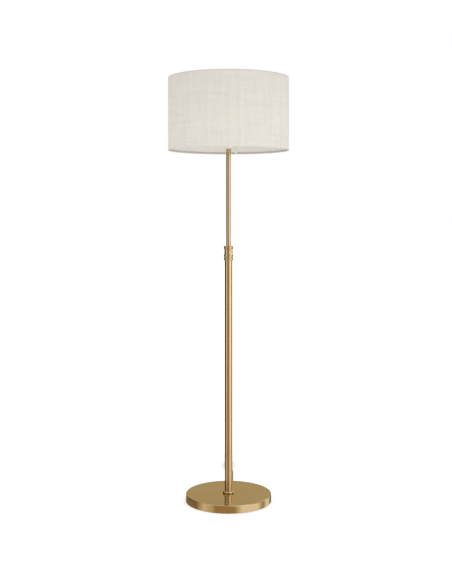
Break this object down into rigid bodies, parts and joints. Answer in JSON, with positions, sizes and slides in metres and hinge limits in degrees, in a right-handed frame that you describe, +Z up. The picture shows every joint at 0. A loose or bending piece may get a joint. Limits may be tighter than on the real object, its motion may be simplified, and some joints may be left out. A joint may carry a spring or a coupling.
{
  "type": "floor lamp",
  "caption": "Telescopic floor lamp: weighted round base, brass tube with a clamp collar, sliding mast, pull-chain lampholder, harp and linen drum shade.",
  "frame": {"origin": "centre of the round base, at floor level", "axes": "+Z up along the tubes; -Y is the front, with the clamp knob to the front right; the cord leaves towards +Y"},
  "size_m": [0.4059, 0.8, 1.4296],
  "materials": {
    "aged brass": "warm satin, hand-rubbed",
    "brass": "satin",
    "cast iron": "raw casting",
    "black steel": "satin black",
    "zinc steel": "zinc plated",
    "felt": "black felt",
    "nylon": "natural nylon",
    "white enamel": "white coated wire",
    "linen": "off-white linen weave",
    "white lining": "white styrene",
    "fibre": "brown fibre board",
    "holder moulding": "black moulding",
    "aluminium": "thin drawn",
    "opal glass": "frosted white",
    "white plastic": "warm white",
    "nickel": "nickel plated",
    "cord": "translucent brown-gold sheath",
    "brown plastic": "brown moulding",
    "black tie": "black"
  },
  "bodies": {
    "base": {"base_cover": "aged brass", "base_weight": "cast iron", "bottom_plate": "black steel", "floor_pad": "felt", "plate_screws": "zinc steel", "foot_collar": "aged brass", "tube_plug": "zinc steel", "base_nipple": "zinc steel", "base_washer": "zinc steel", "base_nut": "zinc steel", "lower_tube": "aged brass", "clamp_collar": "aged brass", "collar_bush": "nylon", "collar_grub_screw": "zinc steel", "cord_bushing": "brown plastic", "base_cord": "cord", "slack_cord": "cord", "power_cord": "cord", "plug_lead": "cord", "cord_hank": "cord", "hank_tie": "black tie", "plug_body": "brown plastic", "plug_blades": "brass"},
    "guide": {"guide_bush": "nylon"},
    "mast": {"guide_clips": "zinc steel", "upper_tube": "aged brass", "top_plug": "aged brass", "mast_neck": "white plastic", "top_nipple": "zinc steel", "mast_cord": "cord", "harp_saddle": "brass", "saddle_nut": "zinc steel", "harp": "brass", "socket_cap": "brass", "cap_screw": "zinc steel", "socket_shell": "brass", "socket_liner": "fibre", "socket_body": "holder moulding", "screw_shell": "aluminium", "centre_contact": "brass", "chain_spout": "brass", "bulb_base": "aluminium", "bulb_glass": "opal glass"},
    "pad": {"pressure_pad": "nylon"},
    "knob": {"clamp_screw": "zinc steel", "clamp_knob": "aged brass"},
    "front ferrule": {"front_ferrule": "brass"},
    "back ferrule": {"back_ferrule": "brass"},
    "chain": {"pull_chain": "nickel", "chain_bell": "white plastic"},
    "shade": {"harp_stud": "brass", "shade_spider": "white enamel", "shade_top_ring": "white enamel", "shade_bottom_ring": "white enamel", "shade_fabric": "linen", "shade_lining": "white lining", "bottom_hem": "linen", "top_hem": "linen"},
    "finial": {"finial": "brass"}
  },
  "joints": [
    {"name": "mast_slide", "type": "slide", "parent": "base", "child": "guide", "axis": [0, 0, 1], "range_m": [-0.322, 0.198], "deforming": ["slack_cord"]},
    {"name": "mast_turn", "type": "hinge", "parent": "guide", "child": "mast", "pos_m": [0, 0, 0.6], "axis": [0, 0, 1], "range_deg": [-180, 180]},
    {"name": "clamp_travel", "type": "slide", "parent": "base", "child": "pad", "axis": [0.454, -0.891, 0], "range_m": [0, 0.00151]},
    {"name": "knob_turn", "type": "hinge", "parent": "pad", "child": "knob", "pos_m": [0, 0, 0.8326], "axis": [0.454, -0.891, 0], "range_deg": [0, 540]},
    {"name": "shade_turn", "type": "hinge", "parent": "mast", "child": "shade", "pos_m": [0, 0, 1.4019], "axis": [0, 0, 1], "continuous": true},
    {"name": "finial_turn", "type": "hinge", "parent": "shade", "child": "finial", "pos_m": [0, 0, 1.41], "axis": [0, 0, 1], "range_deg": [0, 180]},
    {"name": "chain_pull", "type": "slide", "parent": "mast", "child": "chain", "axis": [0, 0, -1], "range_m": [0, 0.01], "stiffness_N_per_m": 600},
    {"name": "front_ferrule_lift", "type": "slide", "parent": "mast", "child": "front ferrule", "axis": [0, 0, 1], "range_m": [0, 0.008]},
    {"name": "back_ferrule_lift", "type": "slide", "parent": "mast", "child": "back ferrule", "axis": [0, 0, 1], "range_m": [0, 0.008]}
  ],
  "couplings": [
    {"joint": "clamp_travel", "follows": "knob_turn", "m_per_rad": 0.00015915}
  ]
}
